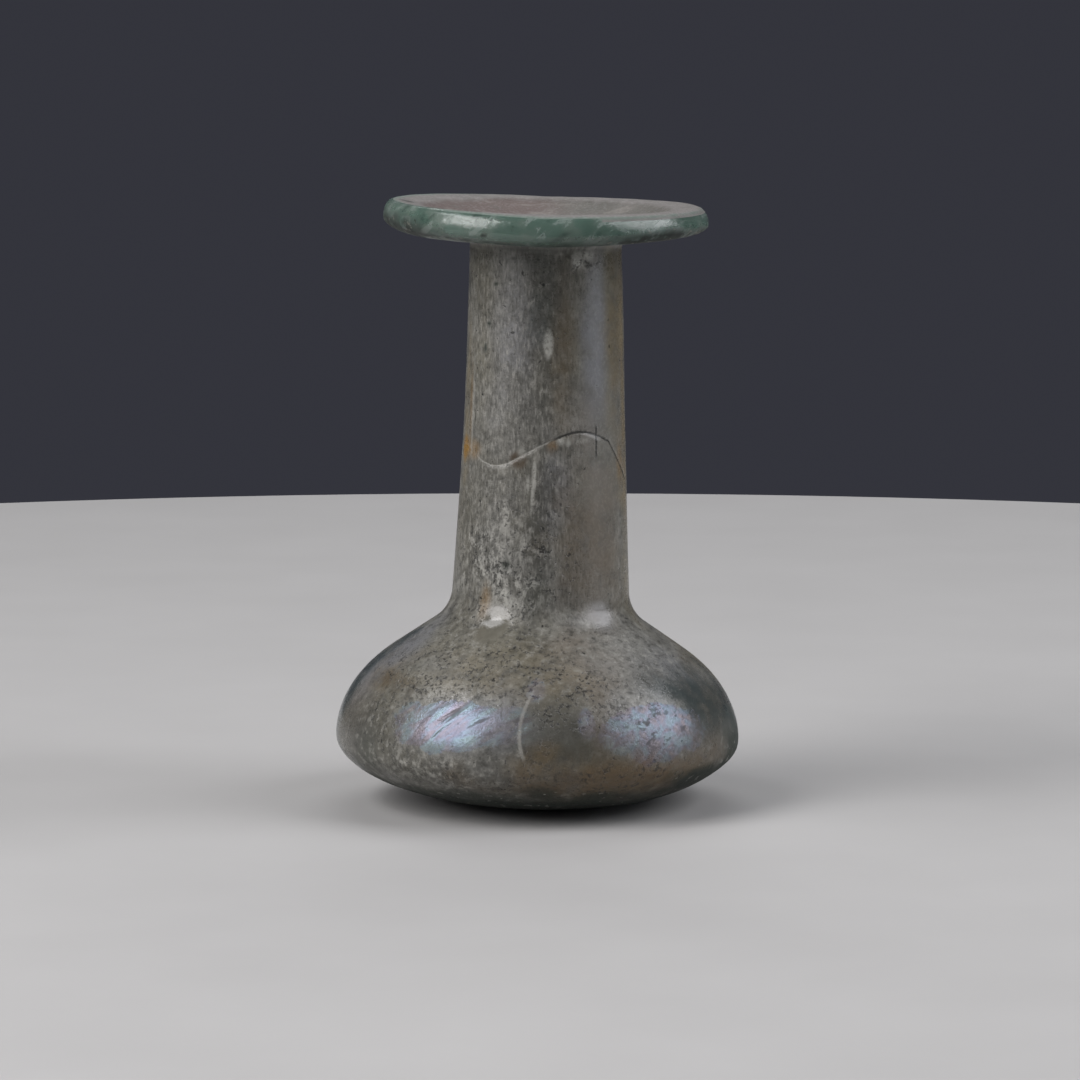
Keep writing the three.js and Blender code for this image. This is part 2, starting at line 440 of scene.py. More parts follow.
    def top_marks(self):
        """The rim's top: its dish, the deposit worn off at its edge, the redder side and a nick."""
        on_top = (self.slot_of_row == TOP)[:, None]
        dish = 1 - smoothstep(-0.8, 0.6, self.radius - RIM_RING_RADIUS + self.fine - 0.5)
        worn = smoothstep(self.clear_radius - 0.9, self.clear_radius, self.radius + 0.8 * (self.fine - 0.5))
        left = 1 - smoothstep(-3, 6, self.place[..., 0] + 4 * (self.coarse - 0.5))
        nick = np.hypot((self.degrees + 92) / 4, (self.radius - 20.5) / 0.9) + 1.6 * (self.fine - 0.5)
        nick = 1 - smoothstep(0.6, 1.2, nick)
        return {"dish": on_top * dish, "worn": on_top * worn, "left": left, "nick": on_top * nick}


# Pits in the outside: azimuth and height, then half sizes, and the depth in millimetres.
PITS = [
    (-24.5, 37.4, 4.5, 1.1, 0.16),
    (-14.5, 33.3, 5.0, 1.5, 0.14),
    (-40, 78.8, 1.3, 0.3, 0.10),
    (-46, 72.8, 1.6, 0.35, 0.10),
    (-49, 69.3, 1.8, 0.35, 0.10),
    (-20, 22.8, 3.2, 0.5, 0.12),
]

# Patches of each mark on the outside: azimuth, height, half sizes, strength, soft edge and raggedness.
# Azimuth 0 faces -Y, and 90 faces +X.
PATCHES = {
    "crust": [
        (-34, 39, 22, 6.0, 0.6, 0.7, 2.2),
        (-14, 34.0, 16, 3.4, 0.55, 0.6, 2.0),
        (29, 83.0, 11, 1.8, 1.0, 0.5, 1.2),
        (-40, 47, 14, 4, 0.3, 0.8, 2.0),
        (-31, 8.2, 22, 2.6, 0.5, 0.8, 1.8),
        (150, 44, 30, 9, 0.8, 0.7, 2.0),
        (-150, 12, 30, 6, 0.6, 0.8, 2.0),
    ],
    "flake": [
        (-6.5, 50.8, 1.7, 3.0, 0.9, 0.3, 0.7),
        (-7.5, 47.6, 1.0, 3.0, 0.8, 0.3, 0.7),
        (-10.5, 49.6, 1.6, 1.4, 0.7, 0.4, 0.9),
        (2.0, 70.2, 3.4, 2.0, 0.95, 0.22, 0.3),
        (12, 55.9, 3.0, 0.6, 0.8, 0.5, 1.8),
        (17, 55.6, 2.4, 0.7, 0.7, 0.5, 1.8),
        (27, 56.0, 6.0, 0.4, 0.5, 0.6, 1.8),
        (25, 82.9, 5.5, 1.2, 1.0, 0.5, 1.6),
        (34, 83.5, 5.0, 0.9, 0.9, 0.5, 1.8),
        (-63, 60, 1.6, 5, 0.5, 0.7, 2.0),
        (-15, 54.2, 3.0, 0.7, 0.6, 0.5, 1.2),
        (-24, 33.2, 5.0, 0.7, 0.8, 0.5, 1.4),
        (-19, 31.8, 2.0, 0.8, 0.8, 0.5, 1.0),
    ],
    "ochre": [
        (-20, 22.5, 36, 3.2, 0.42, 0.8, 2.0),
        (-60, 19.8, 9, 1.8, 0.7, 0.7, 1.6),
        (13, 67, 8, 8, 0.3, 0.8, 1.0),
        (60, 71, 10, 14, 0.8, 0.8, 1.0),
        (76, 60, 9, 26, 0.9, 0.8, 1.2),
        (-74, 60, 6, 12, 0.7, 0.6, 1.0),
        (34, 40, 24, 6, 0.35, 0.8, 1.4),
        (24, 7.8, 32, 3.4, 0.9, 0.9, 2.0),
        (120, 20, 40, 5, 0.8, 0.8, 2.0),
        (-130, 62, 24, 14, 0.6, 0.8, 1.6),
    ],
    "amber": [
        (-74, 53.8, 6, 1.8, 1.0, 0.5, 0.8),
        (-60, 54.0, 8, 1.2, 0.4, 0.7, 1.2),
        (67, 52.6, 4, 2.6, 0.35, 0.8, 0.9),
        (6, 55.4, 4, 0.7, 0.35, 0.7, 1.6),
        (-38, 32, 4, 2.2, 0.4, 0.6, 1.0),
        (24, 7.6, 28, 3.0, 0.20, 0.8, 2.0),
        (76, 66, 5, 16, 0.15, 0.8, 1.4),
        (-66, 60, 2.2, 6, 0.3, 0.8, 1.6),
    ],
    "brown": [
        (-17, 53.0, 6, 1.2, 1.0, 0.4, 1.2),
        (5, 54.9, 5, 1.0, 0.6, 0.5, 1.8),
        (13, 71, 7, 10, 0.5, 0.9, 1.4),
        (62, 70, 7, 12, 0.35, 0.8, 1.4),
        (60, 5.6, 20, 2.2, 0.7, 0.8, 1.4),
        (36, 83.2, 7, 0.8, 0.5, 0.4, 1.6),
        (24, 6.8, 34, 3.8, 0.85, 0.9, 2.2),
        (2, 6.2, 7, 1.6, 0.9, 0.5, 1.2),
        (9, 8.6, 5, 1.4, 0.8, 0.5, 1.6),
        (28, 7.6, 5, 1.0, 0.7, 0.5, 1.6),
        (50, 7.5, 24, 3.4, 0.6, 0.9, 1.6),
        (-58, 19.8, 9, 1.2, 0.7, 0.8, 1.8),
        (28, 37, 20, 7, 0.35, 0.8, 3.0),
        (20, 14.5, 5, 5, 0.6, 0.7, 1.2),
        (-140, 22, 30, 4, 0.6, 0.8, 1.8),
        (150, 9, 40, 4, 0.7, 0.8, 1.8),
    ],
    # Blue-grey film, partly a painted reflection: the band up the +X side of the neck, the tint at the glint
    # in the hollow at the neck's +X foot, and the sheen at the -X edge of the shoulder.
    "blue": [
        (39, 71, 12, 13, 1.0, 0.5, 0.6),
        (40, 30, 8, 2, 0.8, 0.6, 0.8),
        (6, 48, 12, 6, 0.8, 0.7, 1.0),
        (-74, 22.0, 15, 6, 1.0, 0.5, 0.8),
        (60, 22, 20, 3, 0.7, 0.7, 1.0),
        (-10, 16, 9, 5, 0.7, 0.7, 1.0),
        (-34, 70, 10, 12, 0.5, 0.9, 1.4),
        (-17, 72, 13, 9, 0.8, 0.8, 1.2),
        (140, 60, 20, 18, 0.6, 0.8, 1.0),
    ],
    # Painted shade: broad patches where the film is darkened, such as the middle of the neck and the low
    # front of the bulb.
    "painted_shade": [
        (5, 14, 11, 6.0, 0.80, 0.5, 0.8),
        (-2, 74, 12, 11, 0.6, 0.9, 1.0),
        (-4, 42, 8, 13, 0.95, 0.8, 1.4),
        (-16, 49, 11, 5, 0.5, 0.9, 1.4),
        (-14, 61, 9, 6, 0.4, 0.9, 1.4),
        (-46, 42, 18, 12, 0.50, 0.9, 1.4),
        (45, 23, 18, 3.5, 0.25, 0.9, 1.4),
        (-62, 14, 10, 5, 0.4, 0.8, 1.4),
        (-55, 12, 20, 4, 0.25, 0.8, 1.2),
        (26, 5.5, 50, 3.6, 0.80, 0.8, 1.2),
        (-160, 66, 26, 16, 0.5, 0.8, 1.2),
        (170, 15, 30, 7, 0.5, 0.8, 1.2),
    ],
    "warm": [
        (40, 41, 24, 9, 1.0, 0.8, 1.0),
        (30, 57, 16, 6, 0.5, 0.8, 1.0),
        (60, 12, 20, 5, 0.6, 0.8, 1.2),
        (18, 24, 16, 4, 0.7, 0.8, 1.4),
        (-72, 15, 12, 6, 0.5, 0.8, 1.4),
        (-165, 50, 30, 10, 0.7, 0.8, 1.2),
    ],
    # Dark soil in pits and specks, and painted shade: the band just under the rim and the patches low on the
    # bulb.
    "soil_and_shade": [
        (-24.5, 37.4, 3.6, 0.8, 0.9, 0.4, 0.9),
        (-40, 78.8, 2.0, 0.5, 1.0, 0.4, 0.3),
        (-46, 72.8, 2.2, 0.5, 1.0, 0.4, 0.3),
        (-49, 69.3, 2.2, 0.5, 1.0, 0.4, 0.3),
        (0, 84.4, 80, 0.35, 0.6, 0.6, 0.8),
        (-1, 34, 9, 3, 0.35, 0.9, 2.2),
        (62, 6.4, 20, 2.4, 1.0, 0.4, 1.2),
        (76, 9.0, 9, 5.0, 0.9, 0.6, 1.2),
        (84, 9, 12, 4, 0.6, 0.7, 1.2),
        (1, 6.0, 6, 1.2, 0.7, 0.6, 1.4),
        (30, 4.6, 34, 1.4, 0.8, 0.7, 2.0),
        (-30, 4.4, 50, 1.2, 0.8, 0.7, 1.6),
        (-57, 8.5, 6, 4, 0.45, 0.8, 1.8),
        (170, 4, 60, 2.4, 0.8, 0.7, 1.4),
    ],
    "bare": [
        (62, 18.2, 15, 3.4, 0.75, 0.8, 1.6),
        (47, 20.5, 11, 2.0, 0.4, 0.8, 1.6),
        (80, 15, 9, 4, 0.7, 0.7, 1.4),
        (-86, 17.5, 9, 8, 0.9, 0.5, 0.6),
        (84, 13, 8, 8, 0.7, 0.5, 0.8),
        (-2, 78, 9, 6, 0.25, 0.8, 1.4),
        (170, 17, 26, 6, 0.7, 0.6, 1.4),
        (-140, 75, 30, 8, 0.5, 0.8, 1.4),
        (-110, 6, 34, 3.5, 0.8, 0.5, 1.0),
    ],
    # Where the iridescent film lies, chiefly at the bulb's highlights: it sets the film's thickness, and its
    # lilac and pearl tints in the colour are a painted sheen.
    "violet": [
        (-25, 15.6, 18, 3.4, 1.0, 0.5, 1.0),
        (36, 14.6, 16, 3.4, 1.0, 0.5, 1.2),
        (14.5, 16.3, 2.2, 2, 0.9, 0.4, 0.6),
        (-1, 20.8, 3, 1.4, 0.8, 0.4, 0.8),
        (130, 15, 26, 5, 0.9, 0.6, 1.4),
        (-145, 18, 22, 5, 0.8, 0.6, 1.4),
    ],
    "pitted": [
        (-32, 22.5, 44, 4.6, 1.0, 0.8, 2.0),
        (-30, 18.6, 9, 2.2, 1.0, 0.6, 1.2),
        (-50, 13, 10, 6, 0.8, 0.8, 1.8),
        (-25, 37, 34, 9, 0.9, 0.8, 1.6),
        (0, 39, 16, 8, 0.9, 0.8, 1.6),
        (20, 6.5, 50, 4, 0.9, 0.8, 1.6),
        (10, 19.5, 22, 3.4, 0.9, 0.8, 1.8),
        (31, 82.6, 14, 2, 0.8, 0.6, 1.0),
        (160, 24, 50, 6, 0.9, 0.8, 2.0),
    ],
    "smooth": [
        (7, 14, 12, 5.5, 0.8, 0.5, 0.8),
        (46, 60, 22, 24, 1.0, 0.5, 0.8),
        (78, 60, 18, 22, 0.6, 0.9, 1.6),
        (-27, 29, 9, 3.0, 1.0, 0.4, 0.4),
        (40, 31, 10, 2.6, 0.8, 0.5, 0.5),
        (60, 17.5, 20, 5, 0.7, 0.6, 0.8),
        (-25, 15, 17, 4, 0.5, 0.6, 0.8),
        (-66, 22.5, 14, 5, 0.8, 0.6, 0.8),
        (-74, 12, 16, 6, 0.6, 0.7, 1.2),
    ],
    "gloss": [
        (-27, 28.5, 8.0, 2.6, 1.0, 0.3, 0.4),
        (40, 30.0, 7, 1.6, 0.6, 0.5, 0.5),
        (-25, 15.5, 16, 3.5, 0.75, 0.5, 0.8),
    ],
    # Grime on the rim's edge, and painted shade along its lower edge and underside.
    "dirt_and_shade": [
        (52, 86.1, 36, 1.1, 1.0, 0.5, 1.0),
        (20, 85.5, 60, 0.35, 0.6, 0.6, 0.9),
        (-70, 86.4, 20, 1.5, 1.0, 0.6, 1.4),
        (-40, 85.6, 40, 0.4, 0.7, 0.6, 0.9),
        (-88, 87.4, 14, 1.6, 0.8, 0.6, 1.2),
        (-22, 86.5, 1.2, 0.3, 0.9, 0.4, 0.5),
        (170, 86.4, 40, 1.0, 0.9, 0.5, 1.0),
    ],
}


def flask_mesh(wall):
    """The wall as one closed mesh. Its first and last rows are single points on the axis."""
    offset = wall.relief()
    radius = wall.radius + offset * wall.out_radius
    height = wall.height + offset * wall.out_height
    places = hand_worked(radius, height, wall.turn)
    places[..., 2] = np.maximum(places[..., 2], 0)
    first, last = places[0].mean(axis=0), places[-1].mean(axis=0)
    first[2] = 0
    vertices = np.concatenate([[first], places[1:-1].reshape(-1, 3), [last]]) * MM

    faces, slots = [], []
    column = np.arange(AROUND)
    beside = (column + 1) % AROUND
    ring = [1 + (row - 1) * AROUND for row in range(1, wall.rows - 1)]
    end = len(vertices) - 1
    for row, start in enumerate(ring, start=1):
        slot = np.full(AROUND, wall.slot_of_row[row])
        if slot[0] == TOP:
            slot[wall.radius[row] > wall.clear_radius] = EDGE
        if row == 1:
            faces += np.stack([0 * column, start + beside, start + column], axis=-1).tolist()
        else:
            below = start - AROUND
            quads = [below + column, below + beside, start + beside, start + column]
            faces += np.stack(quads, axis=-1).tolist()
        slots += slot.tolist()
    top = ring[-1]
    faces += np.stack([end + 0 * column, top + column, top + beside], axis=-1).tolist()
    slots += [INNER] * AROUND

    mesh = bpy.data.meshes.new("flask_glass")
    mesh.from_pydata(vertices.tolist(), [], faces)
    mesh.polygons.foreach_set("material_index", slots)
    mesh.polygons.foreach_set("use_smooth", [True] * len(faces))
    for name, values in wall.marks().items():
        flat = np.concatenate([values[0, :1], values[1:-1].ravel(), values[-1, :1]])
        mesh.attributes.new(name, "FLOAT", "POINT").data.foreach_set("value", flat.astype(np.float32))
    mesh.update()
    return mesh


# ---------------------------------------------------------------------------------------------------------
# Materials.


class Nodes:
    """A material's node tree with one Principled shader, and short names for the nodes that feed it."""

    def __init__(self, name):
        self.material = bpy.data.materials.new(name)
        self.material.use_nodes = True
        self.tree = self.material.node_tree
        self.shader = self.tree.nodes["Principled BSDF"]
        self.place = self.tree.nodes.new("ShaderNodeTexCoord").outputs["Object"]

    def link(self, value, socket):
        if isinstance(value, bpy.types.NodeSocket):
            self.tree.links.new(value, socket)
        else:
            socket.default_value = value

    def set(self, **values):
        for name, value in values.items():
            self.link(value, self.shader.inputs[name.replace("_", " ")])

    def stretched(self, longer, tilt=0.0):
        """Places in which noise is that much longer along X, Y and Z, then tilted about Y by degrees."""
        node = self.tree.nodes.new("ShaderNodeMapping")
        node.vector_type = "TEXTURE"
        node.inputs["Scale"].default_value = longer
        node.inputs["Rotation"].default_value = (0, math.radians(tilt), 0)
        self.link(self.place, node.inputs["Vector"])
        return node.outputs["Vector"]

    def noise(self, size, detail=3.0, rough=0.5, place=None, warp=0.0):
        """Noise from 0 to 1 with lumps of about size, in metres."""
        node = self.tree.nodes.new("ShaderNodeTexNoise")
        self.link(place or self.place, node.inputs["Vector"])
        node.inputs["Scale"].default_value = 1 / size
        node.inputs["Detail"].default_value = detail
        node.inputs["Roughness"].default_value = rough
        node.inputs["Distortion"].default_value = warp
        return node.outputs["Fac"]

    def mark(self, name):
        node = self.tree.nodes.new("ShaderNodeAttribute")
        node.attribute_name = name
        return node.outputs["Fac"]

    def math(self, operation, a, b=0.0, clamp=False):
        node = self.tree.nodes.new("ShaderNodeMath")
        node.operation = operation
        node.use_clamp = clamp
        self.link(a, node.inputs[0])
        self.link(b, node.inputs[1])
        return node.outputs[0]

    def times(self, a, b):
        return self.math("MULTIPLY", a, b)

    def plus(self, a, b):
        return self.math("ADD", a, b)

    def line(self, name, uneven, inner, outer):
        """1 where the distance named lies within inner, and 0 beyond outer."""
        away = self.math("ABSOLUTE", self.plus(self.mark(name), uneven))
        return self.between(away, outer, inner)

    def between(self, value, low, high, to_low=0.0, to_high=1.0):
        """value stretched so that low and high become to_low and to_high, with soft ends."""
        node = self.tree.nodes.new("ShaderNodeMapRange")
        node.interpolation_type = "SMOOTHSTEP"
        self.link(value, node.inputs["Value"])
        for name, number in (("From Min", low), ("From Max", high), ("To Min", to_low), ("To Max", to_high)):
            node.inputs[name].default_value = number
        return node.outputs["Result"]

    def mix(self, share, a, b):
        node = self.tree.nodes.new("ShaderNodeMix")
        node.data_type = "RGBA"
        self.link(share, node.inputs["Factor"])
        for value, socket in ((a, node.inputs["A"]), (b, node.inputs["B"])):
            self.link((*value, 1) if isinstance(value, tuple) else value, socket)
        return node.outputs["Result"]

    def bump(self, height, distance, strength=1.0, normal=None):
        node = self.tree.nodes.new("ShaderNodeBump")
        node.inputs["Strength"].default_value = strength
        node.inputs["Distance"].default_value = distance
        self.link(height, node.inputs["Height"])
        if normal is not None:
            self.link(normal, node.inputs["Normal"])
        return node.outputs["Normal"]


# Colours of the weathering, from its film to what grew in it, and of the glass under it. Several also carry
# painted light or shade, as noted by each.
FILM_GREY = (0.190, 0.187, 0.170)
FILM_OLIVE = (0.165, 0.157, 0.128)
FILM_PALE = (0.290, 0.284, 0.256)
# Dark film, also the painted shade over the lower bulb and in broad patches.
DARK_FILM_AND_SHADE = (0.060, 0.059, 0.050)
FILM_BLUE_AND_REFLECTION = (0.180, 0.183, 0.192)
# Blue-grey film, partly a painted reflection.
FILM_WARM = (0.200, 0.176, 0.152)
SCRATCH = (0.36, 0.35, 0.32)
OCHRE = (0.190, 0.155, 0.090)
AMBER = (0.26, 0.140, 0.025)
BROWN = (0.070, 0.050, 0.030)
# Painted sheen: pale tints of the iridescent film's coloured reflections.
LILAC_SHEEN = (0.245, 0.232, 0.275)
PEARL_SHEEN = (0.265, 0.288, 0.285)
# Pale crust, also the painted glint along the crack.
CRUST_AND_GLINT = (0.40, 0.395, 0.36)
# Dark soil, also the painted shade at the base and under the rim.
SOIL_AND_SHADE = (0.022, 0.028, 0.022)
# Dark pits, nicks and strokes, also the painted shade along the crack.
PIT_AND_SHADE = (0.014, 0.014, 0.012)
BARE_GLASS = (0.070, 0.098, 0.100)

RIM_GLASS = (0.235, 0.365, 0.305)
RIM_DEEP = (0.15, 0.25, 0.20)
RIM_CLOUD = (0.34, 0.42, 0.36)
RIM_SWIRL = (0.52, 0.62, 0.57)
RIM_SHADE = (0.06, 0.11, 0.09)
RIM_SPECK = (0.02, 0.025, 0.02)
# Grime, also the painted shade under the rim.
RIM_DIRT_AND_SHADE = (0.018, 0.024, 0.018)
RIM_GRIT = (0.34, 0.34, 0.28)

DEPOSIT_PALE = (0.175, 0.162, 0.155)
DEPOSIT_DARK = (0.125, 0.117, 0.110)
DEPOSIT_GRAIN = (0.30, 0.28, 0.26)
DEPOSIT_WORN = (0.105, 0.140, 0.120)
DISH_GREY = (0.080, 0.076, 0.065)
DISH_RED = (0.080, 0.052, 0.046)
DISH_DARK = (0.050, 0.050, 0.040)
DISH_WIPED = (0.205, 0.188, 0.170)

INSIDE_PALE = (0.17, 0.155, 0.12)
INSIDE_DARK = (0.10, 0.095, 0.08)
INSIDE_GRAIN = (0.24, 0.22, 0.17)

STAND_DARK = (0.41, 0.405, 0.40)
STAND_PALE = (0.46, 0.455, 0.45)

GLASS_IOR = 1.5
FILM_IOR = 1.6
RIM_CLEARNESS = 0.62
STREAK_TILT = -32  # degrees by which the streaks in the iridescent film slope


class WeatheredGlass(Nodes):
    """Pale green glass under a thin film of weathering that is broken, streaked and stained."""

    def __init__(self):
        super().__init__("weathered_glass")
        self.mottle = self.noise(0.0030, 6, 0.62, warp=0.4)
        self.flecks = self.noise(0.0011, 5, 0.65)
        self.grain = self.noise(0.0005, 3, 0.6)
        self.scratches = self.noise(0.0006, 5, 0.65, self.stretched((1, 1, 2.8)))
        self.sheen = self.noise(0.0018, 4, 0.55, self.stretched((4, 1, 1), STREAK_TILT), warp=0.6)
        self.rugged = self.between(self.mark("smooth"), 0, 1, 1, 0.12)
        self.matt = self.between(self.mark("gloss"), 0, 0.5, 1, 0)
        self.on_neck = self.times(self.mark("neck"), self.rugged)
        self.crusty = self.crust()
        self.bare = self.times(self.mark("bare"), self.between(self.mottle, 0.32, 0.56, 0.3, 0.95))
        self.soil_and_shade = self.times(self.mark("soil_and_shade"), self.between(self.flecks, 0.32, 0.46, 0.7, 1))
        self.pits = self.pitting()
        self.streaks = self.dull_streaks()
        colour = self.stained(self.scratched(self.film()))
        colour = self.lines_drawn(self.grown_over(colour))
        colour = self.mix(self.times(self.streaks, 0.55), colour, DARK_FILM_AND_SHADE)
        self.set(Base_Color=colour, Transmission_Weight=self.clearness(), IOR=GLASS_IOR)
        self.set(Roughness=self.roughness(), Normal=self.relief())
        self.set(Thin_Film_Thickness=self.film_thickness(), Thin_Film_IOR=FILM_IOR)

    def crust(self):
        """Pale crust, broken by noise and left off where the glass is glossy."""
        self.flaking = self.noise(0.0010, 6, 0.7, self.stretched((1, 1, 1.6)))
        crusty = self.times(self.mark("crust"), self.between(self.flaking, 0.46, 0.60, 0, 0.85))
        return self.times(crusty, self.matt)

    def pitting(self):
        """Clusters of dark pits where the wall is marked as pitted, and a few single ones anywhere."""
        pits = self.times(self.mark("pitted"), self.between(self.noise(0.00060, 4, 0.6), 0.53, 0.61))
        pits = self.times(pits, self.between(self.noise(0.0026, 4, 0.6), 0.43, 0.53))
        few = self.between(self.noise(0.0008, 1, 0.4), 0.74, 0.79)
        return self.times(self.math("MAXIMUM", pits, few), self.matt)

    def dull_streaks(self):
        """Sloping streaks where the iridescent film is dull."""
        streaks = self.noise(0.0009, 4, 0.6, self.stretched((7, 1, 1), STREAK_TILT), warp=0.3)
        return self.times(self.mark("violet"), self.between(streaks, 0.54, 0.62))

    def film(self):
        """The film itself, in broad areas of grey, olive, blue and warm grey, with painted shade over the
        lower bulb and in broad patches. The blue is partly a painted reflection.
        """
        broad = self.noise(0.014, 3, 0.5)
        dark = self.times(self.rugged, self.between(self.mottle, 0.52, 0.34, 0, 0.35))
        # Partly a painted reflection: cooler blue-grey where reflections lie on the neck and shoulder.
        blue = self.times(self.mark("blue"), self.between(self.mottle, 0.3, 0.6, 0.6, 1))
        warm = self.times(self.mark("warm"), self.between(self.mottle, 0.3, 0.6, 0.5, 0.9))
        colour = self.mix(self.between(broad, 0.38, 0.62), FILM_GREY, FILM_OLIVE)
        colour = self.mix(dark, colour, DARK_FILM_AND_SHADE)
        colour = self.mix(blue, colour, FILM_BLUE_AND_REFLECTION)
        colour = self.mix(warm, colour, FILM_WARM)
        # Painted shade: darker over the lower bulb, and darker still in the painted-shade patches.
        colour = self.mix(self.times(self.mark("low"), 0.45), colour, DARK_FILM_AND_SHADE)
        return self.mix(self.times(self.mark("painted_shade"), 0.85), colour, DARK_FILM_AND_SHADE)

    def scratched(self, colour):
        """Flecks on the bulb, and upright scratches and hairs on the neck."""
        on_bulb = self.times(self.between(self.mark("neck"), 0, 1, 1, 0.60), self.rugged)
        hairs = self.noise(0.00030, 3, 0.6, self.stretched((1, 1, 4)))
        layers = [
            (on_bulb, self.between(self.flecks, 0.48, 0.34, 0, 0.80), DARK_FILM_AND_SHADE),
            (on_bulb, self.between(self.flecks, 0.51, 0.68, 0, 0.78), FILM_PALE),
            (self.on_neck, self.between(self.scratches, 0.48, 0.33, 0, 0.65), DARK_FILM_AND_SHADE),
            (self.on_neck, self.between(self.scratches, 0.54, 0.70, 0, 0.36), SCRATCH),
            (self.on_neck, self.between(hairs, 0.53, 0.67, 0, 0.42), SCRATCH),
            (self.on_neck, self.between(hairs, 0.48, 0.34, 0, 0.60), DARK_FILM_AND_SHADE),
        ]
        for where, share, layer in layers:
            colour = self.mix(self.times(where, share), colour, layer)
        return colour

    def stained(self, colour):
        """Ochre, brown and amber stains, and pale lilac and pearl tints where the iridescent film lies, a
        painted sheen of its coloured reflections.
        """
        painted_sheen = self.mix(self.between(self.sheen, 0.40, 0.60), LILAC_SHEEN, PEARL_SHEEN)
        stains = [
            ("ochre", self.between(self.mottle, 0.25, 0.6, 0.15, 0.8), OCHRE),
            ("brown", self.between(self.mottle, 0.30, 0.6, 0.4, 0.95), BROWN),
            ("amber", self.between(self.grain, 0.30, 0.6, 0.6, 1), AMBER),
            ("violet", self.between(self.sheen, 0.35, 0.6, 0.2, 0.7), painted_sheen),
        ]
        for name, share, stain in stains:
            colour = self.mix(self.times(self.mark(name), share), colour, stain)
        return colour

    def grown_over(self, colour):
        """What lies over the film: crust, flakes, bare glass, pits, and dark soil with pale grit in it, which
        is also painted shade at the base and under the rim.
        """
        hollow = self.times(self.mark("crust"), self.between(self.flaking, 0.51, 0.40, 0, 0.7))
        flake = self.times(self.mark("flake"), self.between(self.grain, 0.35, 0.55, 0.6, 1))
        grit = self.times(self.mark("soil_and_shade"), self.between(self.noise(0.0010, 2), 0.66, 0.71))
        colour = self.mix(hollow, colour, DARK_FILM_AND_SHADE)
        colour = self.mix(self.crusty, colour, CRUST_AND_GLINT)
        colour = self.mix(flake, colour, CRUST_AND_GLINT)
        colour = self.mix(self.bare, colour, BARE_GLASS)
        colour = self.mix(self.soil_and_shade, colour, SOIL_AND_SHADE)
        colour = self.mix(self.times(grit, 0.55), colour, CRUST_AND_GLINT)
        return self.mix(self.times(self.pits, 0.85), colour, PIT_AND_SHADE)

    def lines_drawn(self, colour):
        """The arc on the bulb, the crack (a painted glint along its -X part, painted shade along its +X part)
        and the stroke across it.
        """
        uneven = self.times(self.math("SUBTRACT", self.grain, 0.5), 0.5)
        lines = [
            ("arc", 0.6, self.line("from_arc", uneven, 0.10, 0.40), SCRATCH),
            ("crack_glint", 0.66, self.line("from_crack", uneven, 0.04, 0.17), CRUST_AND_GLINT),
            ("crack_shade", 0.85, self.line("from_crack", uneven, 0.08, 0.26), PIT_AND_SHADE),
            ("tick", 0.92, self.line("from_tick", self.times(uneven, 0.4), 0.07, 0.24), PIT_AND_SHADE),
        ]
        for name, strength, line, ink in lines:
            share = self.times(line, self.times(self.mark(name), strength))
            colour = self.mix(share, colour, ink)
        return colour

    def clearness(self):
        """How much light goes through: more where the glass is bare, little through crust, soil and the
        painted shade at the base and under the rim.
        """
        clear = self.between(self.mottle, 0.30, 0.62, 0.30, 0.14)
        clear = self.plus(clear, self.times(self.bare, 0.5))
        covered = self.times(self.plus(self.crusty, self.soil_and_shade), 0.5)
        return self.math("SUBTRACT", clear, covered, clamp=True)

    def roughness(self):
        rough = self.between(self.grain, 0.3, 0.7, 0.26, 0.42)
        for share, change in ((self.crusty, 0.35), (self.soil_and_shade, 0.60), (self.streaks, 0.40)):
            rough = self.plus(rough, self.times(share, change))
        for share, change in ((self.mark("smooth"), 0.10), (self.mark("gloss"), 0.13), (self.bare, 0.14)):
            rough = self.math("SUBTRACT", rough, self.times(share, change))
        return self.math("MAXIMUM", rough, 0.08)

    def relief(self):
        """The finest relief: mottled film, scratches and grain, and pits."""
        scored = self.times(self.scratches, self.on_neck)
        ridges = self.plus(scored, self.plus(self.grain, self.times(self.crusty, 1.5)))
        normal = self.bump(self.times(self.mottle, self.rugged), 0.00010, 0.6)
        normal = self.bump(self.times(ridges, self.rugged), 0.00006, 0.8, normal)
        return self.bump(self.math("SUBTRACT", 1.0, self.pits), 0.00008, 0.8, normal)

    def film_thickness(self):
        """Nanometres of iridescent film, from violet to blue-green, and 0 where there is none."""
        thickness = self.between(self.sheen, 0.36, 0.64, 181, 226)
        edge = self.plus(self.mark("violet"), self.times(self.grain, 0.4))
        return self.times(thickness, self.math("GREATER_THAN", edge, 0.52))


def weathered_glass():
    return WeatheredGlass().material


